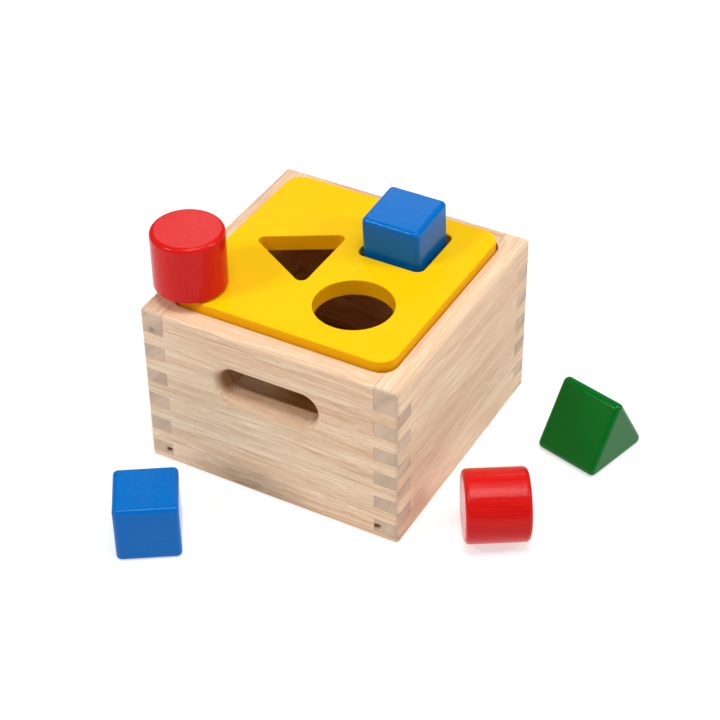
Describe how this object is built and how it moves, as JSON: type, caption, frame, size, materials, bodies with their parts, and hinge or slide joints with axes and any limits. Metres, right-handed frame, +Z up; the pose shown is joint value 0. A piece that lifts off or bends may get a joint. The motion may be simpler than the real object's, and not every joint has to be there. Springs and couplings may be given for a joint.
{
  "type": "shape sorter",
  "caption": "Finger-jointed wooden box with a lift-off painted lid whose triangular, round and square holes sort matching cube, cylinder and prism blocks.",
  "frame": {"origin": "middle of the footprint of the whole set, box and loose blocks, on the surface it stands on; the box's own centre is at x -0.0343, y 0.0357", "axes": "+Z up and the shortest way through the set, -Y out of the box's front wall, +X to the right of that wall"},
  "size_m": [0.2114, 0.2093, 0.1279],
  "materials": {
    "pale_wood": "bare satin",
    "panel_wood": "bare satin",
    "yellow_paint": "satin paint",
    "red_paint": "gloss paint",
    "blue_paint": "gloss paint",
    "green_paint": "gloss paint"
  },
  "bodies": {
    "box": {"front_wall": "pale_wood", "back_wall": "pale_wood", "left_wall": "pale_wood", "right_wall": "pale_wood", "floor_panel": "panel_wood"},
    "lid": {"sorting_lid": "yellow_paint"},
    "lid_cylinder": {"cylinder_on_lid": "red_paint"},
    "hole_cube": {"cube_in_hole": "blue_paint"},
    "table_cube": {"cube_on_table": "blue_paint"},
    "table_cylinder": {"cylinder_on_table": "red_paint"},
    "table_prism": {"prism_on_table": "green_paint"}
  },
  "joints": [
    {"name": "lid_lift", "type": "slide", "parent": "box", "child": "lid", "axis": [0, 0, 1], "range_m": [0, 0.08]},
    {"name": "cylinder_on_lid_lift", "type": "slide", "parent": "lid", "child": "lid_cylinder", "axis": [0, 0, 1], "range_m": [0, 0.06]},
    {"name": "cube_in_hole_drop", "type": "slide", "parent": "lid", "child": "hole_cube", "axis": [0, 0, 1], "range_m": [-0.0767, 0.03]},
    {"name": "cube_on_table_lift", "type": "slide", "parent": "box", "child": "table_cube", "axis": [0, 0, 1], "range_m": [0, 0.1]},
    {"name": "cylinder_on_table_lift", "type": "slide", "parent": "box", "child": "table_cylinder", "axis": [0, 0, 1], "range_m": [0, 0.1]},
    {"name": "prism_on_table_lift", "type": "slide", "parent": "box", "child": "table_prism", "axis": [0, 0, 1], "range_m": [0, 0.1]}
  ]
}
